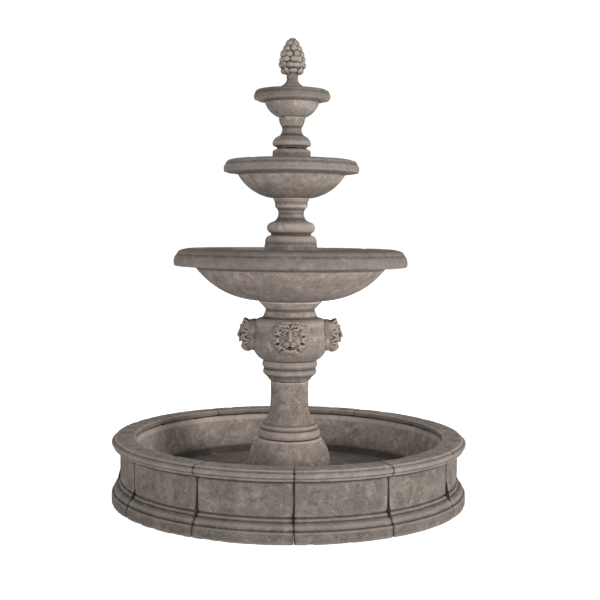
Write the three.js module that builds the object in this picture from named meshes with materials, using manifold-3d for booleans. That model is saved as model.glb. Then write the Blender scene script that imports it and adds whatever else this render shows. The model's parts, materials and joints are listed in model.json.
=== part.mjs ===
// A three-tier cast-stone garden fountain: a floor slab and a basin inside a ring of twelve wall stones, a plinth
// that hides the pump, a column with a lion urn, three bowls on turned spools and a pine-cone finial, with the
// plumbing inside.
// Millimetres, +Z up. The origin is on the ground at the centre of the pool, and -Y is the front.
import * as THREE from 'three';
import { mergeVertices } from 'three/addons/utils/BufferGeometryUtils.js';
import { RoundedBoxGeometry } from 'three/addons/geometries/RoundedBoxGeometry.js';
import Module from 'manifold-3d';

const wasm = await Module();
wasm.setup();

// ---- Driving dimensions -------------------------------------------------------------------------------

const GAP = 0.5; // bed joint between two stacked pieces
const POOL_SIDES = 36; // facets round the pool
const BOWL_SIDES = 24; // facets round the large bowl
const MID_SIDES = 20; // facets round the column, the spools and the smaller bowls
const PIPE_SIDES = 10; // facets round pipes, shafts and hoses
const ARC_ERROR = 2.4; // how far a straight stretch of a rounded moulding may stand off its arc

const WALL_STONES = 12; // wall stones round the pool
const WALL_JOINT = 3; // open joint between two wall stones
const WALL_TURN = 1.5 * (Math.PI / 180); // the front joint stands this far round from -Y towards +X
const POOL_RADIUS = 914;
const POOL_HEIGHT = 331;
const STONE_INNER_RADIUS = 834; // the upright back of the wall stones, which stand round the basin
const COPING_INNER_RADIUS = 788; // the coping reaches in over the basin's rim
const COPING_UNDERSIDE = 303;
const BASIN_RADIUS = 828; // outside, at the rim
const BASIN_WALL = 30;
const BASIN_RIM = 299;
const FLOOR_RADIUS = 780; // of the floor slab, under the basin's wall
const FLOOR_HEIGHT = 92;

const PLINTH_TOP = 313;
const COLUMN_TOP = 608;
const CAPITAL_TOP = 717;
const URN_TOP = 1025;
const LARGE_BOWL_TOP = 1292;
const LARGE_BOWL_FLOOR = 1078;
const LOWER_SPOOL_TOP = 1551.5;
const MEDIUM_BOWL_TOP = 1746;
const MEDIUM_BOWL_FLOOR = 1598;
const RISER_BLOCK_TOP = 1806;
const UPPER_SPOOL_TOP = 1963.5;
const SMALL_BOWL_TOP = 2101;
const SMALL_BOWL_FLOOR = 2004;
const FINIAL_TOP = 2368;

const SHAFT_BORE = 60; // radius of the pipe way through the plinth, the column and the capital
const SPOOL_BORE = 30; // radius of the pipe way through the spools
const BOWL_HOLE = 24; // radius of the hole in each bowl's floor, which a rubber stopper closes

const RISER_RADIUS = 11;
const RISER_WALL = 1.5;
const RISER_TOP = 2085; // the pipe ends inside the finial's foot
const SPOUT_RADIUS = 8;
const SPOUT_WALL = 1.2;
const SPOUT_HEIGHT = 803; // the lions' mouths and the manifold that feeds them
const SPOUT_START = 44;
const SPOUT_END = 244; // inside the lion's mouth

const MASK_RADIUS = 84;
const MASK_HEIGHT = 848; // centre of each lion mask
const MASK_FRONT = 250; // how far the mask's round plate stands out from the axis
const MASK_SNOUT = 278; // how far the lion's nose stands out
const URN_RADIUS = 196;

const PUMP_AXIS_HEIGHT = 150; // the impeller turns about a line along X at this height
const PUMP_BODY = { length: 88, width: 84, height: 84 };
const PUMP_FACE = -16; // where the motor housing meets the impeller cover
const VALVE_HEIGHT = 258; // centre of the ball valve over the pump

const DRAIN_PLACE = new THREE.Vector2(310, -470);
const DRAIN_RADIUS = 25;

// ---- Solid helpers --------------------------------------------------------------------------------------

// A chain of points in the (radius, height) plane, traced with the material on its left-hand side.
class Outline {
  constructor(r, z) {
    this.points = [new THREE.Vector2(r, z)];
  }

  last() {
    return this.points[this.points.length - 1];
  }

  // A straight stretch.
  to(r, z) {
    this.points.push(new THREE.Vector2(r, z));
    return this;
  }

  // A round stretch: a circular arc whose middle stands `rise` proud of the chord, or hollow if negative.
  arc(r, z, rise) {
    const from = this.last();
    const chord = new THREE.Vector2(r, z).sub(from);
    const half = chord.length() / 2;
    const turn = 4 * Math.atan(rise / half); // the whole angle of the arc
    const radius = (half * half + rise * rise) / (2 * Math.abs(rise));
    const stride = 2 * Math.acos(1 - Math.min(1, ARC_ERROR / radius));
    const steps = Math.ceil(Math.abs(turn) / stride);
    const outward = new THREE.Vector2(chord.y, -chord.x).normalize();
    const centre = from.clone().addScaledVector(chord, 0.5);
    centre.addScaledVector(outward, -(half * half - rise * rise) / (2 * rise));
    for (let i = 1; i < steps; i++) {
      this.points.push(from.clone().rotateAround(centre, (turn * i) / steps));
    }
    return this.to(r, z);
  }
}

// A closed three.js geometry as a solid that can be joined and cut.
function solid(geometry) {
  const bare = geometry.clone();
  bare.deleteAttribute('normal');
  bare.deleteAttribute('uv');
  const merged = mergeVertices(bare, 1e-3);
  return new wasm.Manifold(
    new wasm.Mesh({
      numProp: 3,
      vertProperties: merged.attributes.position.array,
      triVerts: new Uint32Array(merged.index.array),
    }),
  );
}

// A solid back as geometry, in flat facets.
function geometryOf(shape) {
  const { vertProperties, triVerts } = shape.getMesh();
  const geometry = new THREE.BufferGeometry();
  geometry.setAttribute('position', new THREE.BufferAttribute(vertProperties, 3));
  geometry.setIndex(new THREE.BufferAttribute(triVerts, 1));
  const faceted = geometry.toNonIndexed();
  faceted.computeVertexNormals();
  return faceted;
}

// A closed outline turned round the Z axis.
function turned(outline, sides) {
  const closed = [...outline.points, outline.points[0]];
  return solid(new THREE.LatheGeometry(closed, sides).rotateX(Math.PI / 2));
}

// An outline that starts and ends on the axis, turned round Z.
function turnedSolid(outline, sides) {
  return solid(new THREE.LatheGeometry(outline.points, sides).rotateX(Math.PI / 2));
}

// An upright cylinder that stands on height z.
function post(radius, z, height, sides = PIPE_SIDES, topRadius = radius) {
  const geometry = new THREE.CylinderGeometry(topRadius, radius, height, sides);
  return solid(geometry.rotateX(Math.PI / 2).translate(0, 0, z + height / 2));
}

// An upright tube that stands on height z.
function pipe(radius, wall, z, height, sides = PIPE_SIDES) {
  const outline = new Outline(radius - wall, z).to(radius, z).to(radius, z + height).to(radius - wall, z + height);
  return turned(outline, sides);
}

// A block by its lowest and highest corners.
function block(low, high) {
  const size = high.map((value, i) => value - low[i]);
  const centre = high.map((value, i) => (value + low[i]) / 2);
  return solid(new THREE.BoxGeometry(...size).translate(...centre));
}

// A flat plate with the outline `points` in plan, from height z upwards.
function slab(points, z, height) {
  const shape = new THREE.Shape(points.map(([x, y]) => new THREE.Vector2(x, y)));
  const geometry = new THREE.ExtrudeGeometry(shape, { depth: height, bevelEnabled: false });
  return solid(geometry.translate(0, 0, z));
}

// A sphere squashed to the half-sizes `half` round `centre`.
function lump(half, centre, sides = 12) {
  const geometry = new THREE.SphereGeometry(1, sides, Math.round(sides * 0.7));
  return solid(geometry.scale(...half).translate(...centre));
}

const ALONG_X = [0, 90, 0];
const ALONG_FRONT = [90, 0, 0]; // turns +Z to -Y

// ---- Materials ------------------------------------------------------------------------------------------

function material(color, roughness, metalness) {
  return new THREE.MeshStandardMaterial({ color, roughness, metalness });
}

const castStone = material('#8a817b', 0.92, 0);
const basinStone = material('#7f7670', 0.95, 0);
const copper = material('#9a6a48', 0.4, 1);
const brass = material('#b08d4a', 0.35, 1);
const steel = material('#a9adb1', 0.35, 1);
const ceramic = material('#e6e2d8', 0.3, 0);
const rubber = material('#1f1f20', 0.8, 0);
const hoseVinyl = material('#30343a', 0.5, 0);
const pumpPlastic = material('#23282b', 0.5, 0);
const rotorPlastic = material('#3a4a5c', 0.45, 0);
const leverPlastic = material('#a8261f', 0.5, 0);

// ---- Pool -----------------------------------------------------------------------------------------------

// The wall's section: base mouldings, upright panel, and a coping with a beaded nose.
function wallOutline() {
  return new Outline(STONE_INNER_RADIUS, 0)
    .to(POOL_RADIUS, 0)
    .to(POOL_RADIUS, 50)
    .arc(908, 58, 2.6)
    .to(904, 59)
    .arc(884, 92, 7)
    .to(878, 93)
    .arc(871, 108, 3.2)
    .to(865, 110)
    .arc(870, 124, -2)
    .to(870, 275)
    .to(899, 280)
    .arc(906, 292, 2.6)
    .to(905, 294)
    .arc(906, 319, 9)
    .to(901, 321)
    .arc(893, POOL_HEIGHT - 1, 2.6)
    .to(802, POOL_HEIGHT)
    .arc(COPING_INNER_RADIUS, POOL_HEIGHT - 12, 4)
    .to(COPING_INNER_RADIUS + 2, COPING_UNDERSIDE)
    .to(STONE_INNER_RADIUS, COPING_UNDERSIDE);
}

// One wall stone: a twelfth of the ring, cut back at both ends by half a joint.
function wallStone() {
  const halfFacet = 180 / POOL_SIDES;
  const ring = turned(wallOutline(), POOL_SIDES).rotate([0, 0, halfFacet]);
  const reach = POOL_RADIUS * 1.2;
  const half = Math.PI / WALL_STONES;
  const back = WALL_JOINT / 2 / Math.sin(half); // moves the wedge's tip out so that its sides stand clear
  const wedge = [
    [0, -back],
    [reach * Math.sin(half), -back - reach * Math.cos(half)],
    [-reach * Math.sin(half), -back - reach * Math.cos(half)],
  ];
  return ring.intersect(slab(wedge.reverse(), -1, POOL_HEIGHT + 2));
}

// The floor slab, with the hole for the drain.
function poolFloor() {
  const outline = new Outline(0, 0).to(FLOOR_RADIUS, 0).to(FLOOR_RADIUS, FLOOR_HEIGHT).to(0, FLOOR_HEIGHT);
  const hole = post(DRAIN_RADIUS + 2, -1, FLOOR_HEIGHT + 2, 16).translate(DRAIN_PLACE.x, DRAIN_PLACE.y, 0);
  return turnedSolid(outline, POOL_SIDES).subtract(hole);
}

// The basin's leaning wall, one ring that stands on the floor slab and holds the water, with a cove at its foot.
function basinWall() {
  const foot = FLOOR_HEIGHT + GAP;
  const faceFoot = FLOOR_RADIUS - 30; // where the wall's inner face starts above the cove
  const outline = new Outline(FLOOR_RADIUS - 54, foot)
    .to(FLOOR_RADIUS, foot)
    .to(BASIN_RADIUS, BASIN_RIM)
    .to(BASIN_RADIUS - BASIN_WALL, BASIN_RIM)
    .to(faceFoot, foot + 20)
    .arc(FLOOR_RADIUS - 54, foot, -6);
  return turned(outline, POOL_SIDES);
}

// The bulkhead that lines the drain hole, with a flange on the floor.
function drainFitting() {
  const flange = DRAIN_RADIUS + 14;
  const bottom = 8;
  const top = FLOOR_HEIGHT + 5;
  const outline = new Outline(15, bottom)
    .to(DRAIN_RADIUS, bottom)
    .to(DRAIN_RADIUS, FLOOR_HEIGHT + GAP)
    .to(flange, FLOOR_HEIGHT + GAP)
    .to(flange - 3, top)
    .to(20, top)
    .to(16, FLOOR_HEIGHT - 24);
  return turned(outline, 16);
}

// The tapered rubber plug with a finger knob.
function drainPlug() {
  const outline = new Outline(0, FLOOR_HEIGHT - 20)
    .to(15.6, FLOOR_HEIGHT - 20)
    .to(19, FLOOR_HEIGHT + 2)
    .to(19, FLOOR_HEIGHT + 9)
    .to(7, FLOOR_HEIGHT + 11)
    .to(6, FLOOR_HEIGHT + 17)
    .arc(6, FLOOR_HEIGHT + 29, 4)
    .to(0, FLOOR_HEIGHT + 30);
  return turnedSolid(outline, 16);
}

// ---- Plinth, column and urn -----------------------------------------------------------------------------

// The bell-shaped plinth: hollow, with the pump inside and two water inlets low at the back.
function plinth() {
  const foot = FLOOR_HEIGHT + GAP;
  const outline = new Outline(168, foot)
    .to(218, foot)
    .to(215, 190)
    .arc(169, PLINTH_TOP - 4, 9)
    .to(164, PLINTH_TOP)
    .to(SHAFT_BORE, PLINTH_TOP)
    .to(SHAFT_BORE, PLINTH_TOP - 26)
    .to(118, PLINTH_TOP - 30)
    .arc(168, 186, -8);
  const inletHeight = 46;
  const inlet = block([-32, 100, 0], [32, 260, foot + inletHeight]);
  const inlets = inlet.rotate([0, 0, 38]).add(inlet.rotate([0, 0, -38]));
  return turned(outline, MID_SIDES).subtract(inlets);
}

// The column: torus and bead at its foot, a hollow sweep up to a plain shaft.
function column() {
  const outline = new Outline(SHAFT_BORE, PLINTH_TOP + GAP)
    .to(153, PLINTH_TOP + GAP)
    .arc(154, 357, 9)
    .to(148, 359)
    .arc(146, 383, 3)
    .to(139, 385)
    .arc(101, 470, -9)
    .to(100, COLUMN_TOP)
    .to(SHAFT_BORE, COLUMN_TOP);
  return turned(outline, MID_SIDES);
}

// The capital: a flared fillet and two stacked toruses.
function capital() {
  const outline = new Outline(SHAFT_BORE, COLUMN_TOP + GAP)
    .to(104, COLUMN_TOP + GAP)
    .arc(122, 633, -2)
    .to(127, 636)
    .arc(138, 668, 8)
    .to(135, 671)
    .to(136, 675)
    .arc(139, CAPITAL_TOP - 2, 8)
    .to(136, CAPITAL_TOP)
    .to(SHAFT_BORE, CAPITAL_TOP);
  return turned(outline, MID_SIDES);
}

// The urn's outside, from its foot to its flared neck.
function urnOutside(outline) {
  return outline
    .to(143, CAPITAL_TOP + GAP)
    .arc(URN_RADIUS - 2, 782, 9)
    .arc(URN_RADIUS - 1, 890, 2.5)
    .arc(172, 930, 8)
    .to(145, 935)
    .arc(128, 974, 2)
    .to(128, 979)
    .to(159, 1012)
    .to(164, 1015)
    .to(164, URN_TOP);
}

// The urn: a hollow drum that holds the spout manifold, open at the top and the bottom.
function urn() {
  const outline = urnOutside(new Outline(SHAFT_BORE, CAPITAL_TOP + GAP))
    .to(72, URN_TOP)
    .to(72, 940)
    .arc(150, 870, -14)
    .to(150, 790)
    .arc(SHAFT_BORE, 748, -10);
  const channel = post(SPOUT_RADIUS + 1, 100, 130);
  return turned(outline, MID_SIDES).subtract(spokes(channel, SPOUT_HEIGHT));
}

// Four copies of an upright shape laid along the front, right, back and left directions at height z.
function spokes(shape, z) {
  const front = shape.rotate(ALONG_FRONT).translate(0, 0, z);
  const turns = [0, 90, 180, 270];
  return turns.map((angle) => front.rotate([0, 0, angle])).reduce((all, one) => all.add(one));
}

// ---- Lion masks -----------------------------------------------------------------------------------------

// A lion's head for the front of the urn: a round plate ringed with mane tufts, and the face on it.
function lionMask() {
  const seat = turned(urnOutside(new Outline(SHAFT_BORE, CAPITAL_TOP + GAP)).to(SHAFT_BORE, URN_TOP), MID_SIDES);
  const grown = seat.scale([1 + 0.6 / URN_RADIUS, 1 + 0.6 / URN_RADIUS, 1]);
  const plateBack = 120; // inside the urn's wall, where the seat is cut away
  const tufts = 13;
  const edge = [];
  for (let i = 0; i < 2 * tufts; i++) {
    const angle = (i / (2 * tufts)) * 2 * Math.PI;
    const reach = MASK_RADIUS - 5 + 5 * Math.cos(angle * tufts);
    edge.push([reach * Math.sin(angle), reach * Math.cos(angle)]);
  }
  let upright = slab(edge, plateBack, MASK_FRONT - 12 - plateBack);
  upright = upright.add(post(MASK_RADIUS - 9, MASK_FRONT - 13, 13, tufts, MASK_RADIUS - 24));
  // In this upright frame +Z will face forwards and +Y will face up.
  const features = [
    lump([40, 54, 26], [0, -2, MASK_FRONT - 4], 8), // the face
    lump([25, 17, 24], [0, -20, MASK_SNOUT - 26], 8), // the muzzle
    lump([32, 8, 13], [0, 25, MASK_FRONT + 8], 6), // the brow
  ];
  for (const feature of features) {
    upright = upright.add(feature);
  }
  const mouthDrop = SPOUT_HEIGHT - MASK_HEIGHT;
  const mouth = lump([17, 9, 26], [0, mouthDrop, MASK_FRONT + 14], 6);
  const channel = post(SPOUT_RADIUS + 1.5, 100, 200, 8).translate(0, mouthDrop, 0);
  const head = upright.subtract(mouth).subtract(channel);
  return head.rotate(ALONG_FRONT).translate(0, 0, MASK_HEIGHT).subtract(grown);
}

// ---- Bowls ----------------------------------------------------------------------------------------------

// The large bowl: a dished underside, a flat soffit and a broad rounded rim with a bead line.
function largeBowl() {
  const outline = new Outline(BOWL_HOLE, URN_TOP + GAP)
    .to(186, URN_TOP + GAP)
    .arc(496, 1199, 40)
    .to(594, 1200)
    .arc(602, 1208, 2.6)
    .arc(596, 1253, 3)
    .to(591, 1255)
    .arc(552, 1287, 9)
    .to(522, LARGE_BOWL_TOP)
    .to(508, LARGE_BOWL_TOP)
    .arc(494, 1280, 4)
    .to(478, 1236)
    .arc(190, LARGE_BOWL_FLOOR, -44)
    .to(BOWL_HOLE, LARGE_BOWL_FLOOR);
  return turned(outline, BOWL_SIDES);
}

function mediumBowl() {
  const outline = new Outline(BOWL_HOLE, LOWER_SPOOL_TOP + GAP)
    .to(110, LOWER_SPOOL_TOP + GAP)
    .arc(279, 1675, 24)
    .to(341, 1680)
    .arc(348, 1687, 2.6)
    .arc(345, 1717, 2.6)
    .to(341, 1719)
    .arc(322, MEDIUM_BOWL_TOP - 3, 5)
    .to(308, MEDIUM_BOWL_TOP)
    .to(296, MEDIUM_BOWL_TOP)
    .arc(286, MEDIUM_BOWL_TOP - 10, 3)
    .to(272, 1712)
    .arc(112, MEDIUM_BOWL_FLOOR, -26)
    .to(BOWL_HOLE, MEDIUM_BOWL_FLOOR);
  return turned(outline, MID_SIDES);
}

function smallBowl() {
  const outline = new Outline(BOWL_HOLE, UPPER_SPOOL_TOP + GAP)
    .to(70, UPPER_SPOOL_TOP + GAP)
    .arc(141, 2044, 14)
    .to(187, 2049)
    .to(193, 2053)
    .arc(196, 2077, 2.6)
    .to(193, 2079)
    .arc(183, SMALL_BOWL_TOP - 2, 2.6)
    .to(174, SMALL_BOWL_TOP)
    .to(166, SMALL_BOWL_TOP)
    .arc(157, SMALL_BOWL_TOP - 8, 2.5)
    .to(148, 2066)
    .arc(70, SMALL_BOWL_FLOOR, -14)
    .to(BOWL_HOLE, SMALL_BOWL_FLOOR);
  return turned(outline, MID_SIDES);
}

// ---- Spools ---------------------------------------------------------------------------------------------

// The spool between the large and the medium bowl: drum, ovolo, torus, waist and flared top.
function lowerSpool() {
  const outline = new Outline(SPOOL_BORE, LARGE_BOWL_FLOOR + GAP)
    .to(137, LARGE_BOWL_FLOOR + GAP)
    .to(137, 1312)
    .to(134, 1315)
    .to(134, 1334)
    .arc(108, 1360, 7)
    .to(104, 1361)
    .to(104, 1370)
    .arc(107, 1426, 20)
    .to(99, 1428)
    .arc(67, 1466, -8)
    .to(67, 1478)
    .arc(84, 1506, -4)
    .to(85, 1526)
    .arc(96, LOWER_SPOOL_TOP, -2)
    .to(SPOOL_BORE, LOWER_SPOOL_TOP);
  return turned(outline, MID_SIDES);
}

// The plain ring that lifts the upper spool over the medium bowl's rim.
function riserBlock() {
  const outline = new Outline(SPOOL_BORE, MEDIUM_BOWL_FLOOR + GAP)
    .to(99, MEDIUM_BOWL_FLOOR + GAP)
    .to(99, 1786)
    .arc(88, 1799, 3.5)
    .to(79, 1801)
    .to(78, RISER_BLOCK_TOP)
    .to(SPOOL_BORE, RISER_BLOCK_TOP);
  return turned(outline, MID_SIDES);
}

function upperSpool() {
  const outline = new Outline(SPOOL_BORE, RISER_BLOCK_TOP + GAP)
    .to(78, RISER_BLOCK_TOP + GAP)
    .to(80, 1811)
    .arc(96, 1817, 2)
    .arc(98, 1840, 3)
    .arc(84, 1860, -2)
    .to(78, 1864)
    .arc(53, 1890, -6)
    .to(51, 1912)
    .to(58, 1920)
    .arc(61, 1928, 1.5)
    .arc(69, 1956, -2)
    .to(70, UPPER_SPOOL_TOP)
    .to(SPOOL_BORE, UPPER_SPOOL_TOP);
  return turned(outline, MID_SIDES);
}

// ---- Finial ---------------------------------------------------------------------------------------------

// The pine cone: a foot on the small bowl's floor, a neck, and rows of scales to the tip.
function finial() {
  const outline = new Outline(30, SMALL_BOWL_FLOOR + GAP)
    .to(62, SMALL_BOWL_FLOOR + GAP)
    .to(62, 2116)
    .arc(34, 2144, -7)
    .to(31, 2156)
    .arc(41, 2170, -2)
    .to(44, 2181);
  const rows = 6;
  const coneFoot = 2186;
  const widest = 73;
  for (let i = 0; i < rows; i++) {
    const along = i / rows;
    const above = (i + 1) / rows;
    const swell = (t) => widest * Math.sqrt(Math.max(0, 1 - Math.abs((t - 0.24) / 0.85) ** 2.2));
    const height = (t) => coneFoot + (FINIAL_TOP - coneFoot) * t;
    outline.to(swell(along + 0.04) - 4, height(along) + 2);
    outline.arc(swell(above) - 7, height(above) - 1, 4);
  }
  outline.to(5, FINIAL_TOP).to(5, FINIAL_TOP - 130).to(14, FINIAL_TOP - 140);
  outline.to(14, SMALL_BOWL_FLOOR + 34).to(30, SMALL_BOWL_FLOOR + 20);
  return turned(outline, 12);
}

// ---- Plumbing -------------------------------------------------------------------------------------------

// The block where the riser feeds the four spouts.
function manifoldBlock() {
  const bottom = SPOUT_HEIGHT - 26;
  const body = post(27, bottom, 52, 24);
  const nipple = post(14, 0, SPOUT_START - 1, 6);
  const waterWay = post(RISER_RADIUS - RISER_WALL, bottom - 1, 54);
  const branch = post(SPOUT_RADIUS - SPOUT_WALL, 0, SPOUT_START + 1, 12);
  const solidBlock = body.add(spokes(nipple, SPOUT_HEIGHT));
  return solidBlock.subtract(waterWay).subtract(spokes(branch, SPOUT_HEIGHT));
}

function spoutTube() {
  const tube = pipe(SPOUT_RADIUS, SPOUT_WALL, SPOUT_START, SPOUT_END - SPOUT_START, 10);
  return tube.rotate(ALONG_FRONT).translate(0, 0, SPOUT_HEIGHT);
}

// A tapered rubber ring that closes a bowl's hole round the riser.
function stopper(bowlFloor) {
  const inner = RISER_RADIUS + GAP;
  const outline = new Outline(inner, bowlFloor - 22)
    .to(BOWL_HOLE - 3, bowlFloor - 22)
    .to(BOWL_HOLE - GAP, bowlFloor + 4)
    .to(BOWL_HOLE - GAP, bowlFloor + 12)
    .to(inner, bowlFloor + 12);
  return turned(outline, PIPE_SIDES);
}

const HOSE = { inner: 9.5, outer: 13, bottom: 203, top: 234 };
const CLAMP_WIDTH = 9;

// A worm-drive clamp round the hose, with its screw housing at the side.
function hoseClamp(z) {
  const band = pipe(HOSE.outer + 1.6, 1.2, z, CLAMP_WIDTH, 20);
  const housing = block([HOSE.outer + 1.2, -7, z + 0.5], [HOSE.outer + 9, 7, z + CLAMP_WIDTH - 0.5]);
  const screw = post(3.4, -11, 22, 8).rotate(ALONG_FRONT).translate(HOSE.outer + 5.5, 0, z + CLAMP_WIDTH / 2);
  const inside = post(HOSE.outer + 0.4, z - 1, CLAMP_WIDTH + 2, 20);
  return band.add(housing).add(screw).subtract(inside);
}

// The ball valve's body: two pipe ends and a bonnet towards the front for the lever's stem.
function valveBody() {
  const tail = post(9, HOSE.bottom + 15, VALVE_HEIGHT - HOSE.bottom - 15);
  const lower = post(16, HOSE.top + GAP, 10, 6);
  const upper = post(17, VALVE_HEIGHT + 12, 14, 6);
  const ball = lump([20, 20, 20], [0, 0, VALVE_HEIGHT], 10);
  const bonnet = post(8, 0, 27).rotate(ALONG_FRONT).translate(0, 0, VALVE_HEIGHT);
  const shell = tail.add(lower).add(upper).add(ball).add(bonnet);
  const bore = post(6, HOSE.bottom, 90);
  const socket = post(RISER_RADIUS + 0.4, VALVE_HEIGHT + 20, 20);
  const seat = lump([15.5, 15.5, 15.5], [0, 0, VALVE_HEIGHT], 10);
  const stemHole = post(3.6, 0, 40, 12).rotate(ALONG_FRONT).translate(0, 0, VALVE_HEIGHT);
  return shell.subtract(bore).subtract(socket).subtract(seat).subtract(stemHole);
}

// The ball inside the valve, one piece with its stem.
function valveBall() {
  const ball = lump([13.5, 13.5, 13.5], [0, 0, VALVE_HEIGHT], 10);
  const stem = post(3, 6, 25, 10).rotate(ALONG_FRONT).translate(0, 0, VALVE_HEIGHT);
  return ball.add(stem).subtract(post(6, VALVE_HEIGHT - 20, 40));
}

// The lever on the valve's stem. Upright is open: the ball's hole lines up with the riser.
function valveLever() {
  const front = -31.5;
  const hub = post(8, 0, 6, 16).rotate(ALONG_FRONT).translate(0, front, VALVE_HEIGHT);
  const arm = new RoundedBoxGeometry(12, 4, 52, 1, 1.8).translate(0, front - 3, VALVE_HEIGHT - 24);
  return hub.add(solid(arm));
}

// ---- Pump -----------------------------------------------------------------------------------------------

const PUMP_FLOOR = FLOOR_HEIGHT + 12;
const ROTOR_RADIUS = 13;
const VOLUTE = { radius: 30, back: PUMP_FACE + GAP, front: 18 };

// A cylinder along X from `from` to `to` on the pump's axis.
function barrel(radius, from, to, sides = 16) {
  return post(radius, from, to - from, sides).rotate(ALONG_X).translate(0, 0, PUMP_AXIS_HEIGHT);
}

// The motor housing: a rounded block with the rotor's well and cooling ribs.
function pumpHousing() {
  const { length, width, height } = PUMP_BODY;
  const middle = PUMP_FACE - length / 2;
  const body = new RoundedBoxGeometry(length, width, height, 1, 7).translate(middle, 0, PUMP_AXIS_HEIGHT);
  let shape = solid(body);
  for (let x = PUMP_FACE - length + 16; x < PUMP_FACE - 12; x += 12) {
    shape = shape.add(block([x, -width / 2 - 2.5, 122], [x + 4, width / 2 + 2.5, 178]));
  }
  return shape.subtract(barrel(ROTOR_RADIUS + 1.2, PUMP_FACE - 70, PUMP_FACE + 1));
}

// The shaft that the rotor turns on, held at the bottom of the well.
function pumpShaft() {
  return barrel(2, PUMP_FACE - 69.5, VOLUTE.front - 4, 12);
}

// The magnet rotor with its six-vaned impeller.
function pumpRotor() {
  const hubEnd = VOLUTE.front - 8;
  let shape = barrel(ROTOR_RADIUS, PUMP_FACE - 64, PUMP_FACE - 2).add(barrel(7, PUMP_FACE - 3, hubEnd));
  const vanes = 6;
  for (let i = 0; i < vanes; i++) {
    const vane = block([PUMP_FACE + 7, -1.2, 4], [hubEnd - 1, 1.2, 21]);
    shape = shape.add(vane.rotate([(i / vanes) * 360, 0, 0]).translate(0, 0, PUMP_AXIS_HEIGHT));
  }
  return shape.subtract(barrel(2.5, PUMP_FACE - 80, VOLUTE.front + 1, 12));
}

// The impeller cover, with the inlet in its front and the outlet boss on top.
function impellerCover() {
  const outletTop = PUMP_AXIS_HEIGHT + 45;
  const flange = barrel(38, VOLUTE.back, VOLUTE.back + 5, 20);
  const shell = barrel(VOLUTE.radius, VOLUTE.back, VOLUTE.front, 20);
  const boss = post(13, PUMP_AXIS_HEIGHT, 45, 20);
  const chamber = barrel(VOLUTE.radius - 4, VOLUTE.back - 1, VOLUTE.front - 4, 20);
  const inlet = barrel(11, VOLUTE.front - 6, VOLUTE.front + 1, 20);
  const outlet = post(9.5, PUMP_AXIS_HEIGHT + 10, outletTop - PUMP_AXIS_HEIGHT, 16);
  return flange.add(shell).add(boss).subtract(chamber).subtract(inlet).subtract(outlet);
}

// The slotted cage that keeps leaves out of the inlet.
function strainerCage() {
  const half = 36;
  const wall = 2.5;
  const back = VOLUTE.front + GAP;
  const front = back + 46;
  const low = PUMP_AXIS_HEIGHT - half;
  const high = PUMP_AXIS_HEIGHT + half;
  const shell = new RoundedBoxGeometry(front - back, 2 * half, 2 * half, 1, 5);
  let shape = solid(shell.translate((front + back) / 2, 0, PUMP_AXIS_HEIGHT));
  shape = shape.subtract(block([back - 1, -half + wall, low + wall], [front - wall, half - wall, high - wall]));
  for (let z = low + 10; z < high - 10; z += 14) {
    shape = shape.subtract(block([back + 8, -half - 1, z], [front - 8, half + 1, z + 6]));
    shape = shape.subtract(block([front - wall - 1, -half + 9, z], [front + 1, half - 9, z + 6]));
  }
  return shape;
}

// The dial on the cage's top that throttles the pump.
function flowDial() {
  const top = PUMP_AXIS_HEIGHT + 36 + GAP;
  const outline = new Outline(0, top).to(12, top).to(12, top + 5).to(9, top + 8).to(0, top + 8);
  const grip = block([-9, -2, top + 7], [9, 2, top + 12]);
  return turnedSolid(outline, 20).add(grip).translate(46, 0, 0);
}

// The barbed adaptor between the cover's outlet and the hose.
function outletAdaptor() {
  const seat = PUMP_AXIS_HEIGHT + 45 + GAP;
  const outline = new Outline(6, seat - 14)
    .to(9, seat - 14)
    .to(9, seat)
    .to(14, seat)
    .to(14, seat + 6)
    .to(8.6, seat + 6)
    .to(9.1, seat + 12)
    .to(8.6, seat + 12)
    .to(9.1, seat + 18)
    .to(6, seat + 18);
  return turned(outline, PIPE_SIDES);
}

// A rubber suction foot under the pump.
function suctionFoot() {
  const floor = FLOOR_HEIGHT + GAP;
  const top = PUMP_AXIS_HEIGHT - PUMP_BODY.height / 2 - GAP;
  const outline = new Outline(0, floor + 1)
    .to(6, floor + 1)
    .to(9, floor)
    .to(11, floor)
    .to(8, floor + 6)
    .to(5, top)
    .to(0, top);
  return turnedSolid(outline, PIPE_SIDES);
}

// The gland where the pump's lead enters, at the back of the motor.
function cordGland() {
  const back = PUMP_FACE - PUMP_BODY.length;
  const nut = barrel(9, back - 12, back - GAP, 6);
  const nose = barrel(6, back - 20, back - 11, 12);
  return nut.add(nose).subtract(barrel(3.6, back - 21, back - 6, 12));
}

// ---- Assembly -------------------------------------------------------------------------------------------

const fountain = new THREE.Group();

function place(name, shape, look, x = 0, y = 0, turn = 0) {
  const mesh = new THREE.Mesh(geometryOf(shape), look);
  mesh.name = name;
  mesh.position.set(x, y, 0);
  mesh.rotation.z = turn;
  fountain.add(mesh);
  return mesh;
}

place('pool_floor', poolFloor(), basinStone);
place('basin_wall', basinWall(), basinStone);
const stone = wallStone();
for (let i = 0; i < WALL_STONES; i++) {
  const turn = WALL_TURN + ((i + 0.5) / WALL_STONES) * 2 * Math.PI;
  place(`pool_wall_stone_${String(i + 1).padStart(2, '0')}`, stone, castStone, 0, 0, turn);
}
place('drain_fitting', drainFitting(), brass, DRAIN_PLACE.x, DRAIN_PLACE.y);
place('drain_plug', drainPlug(), rubber, DRAIN_PLACE.x, DRAIN_PLACE.y);

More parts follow.
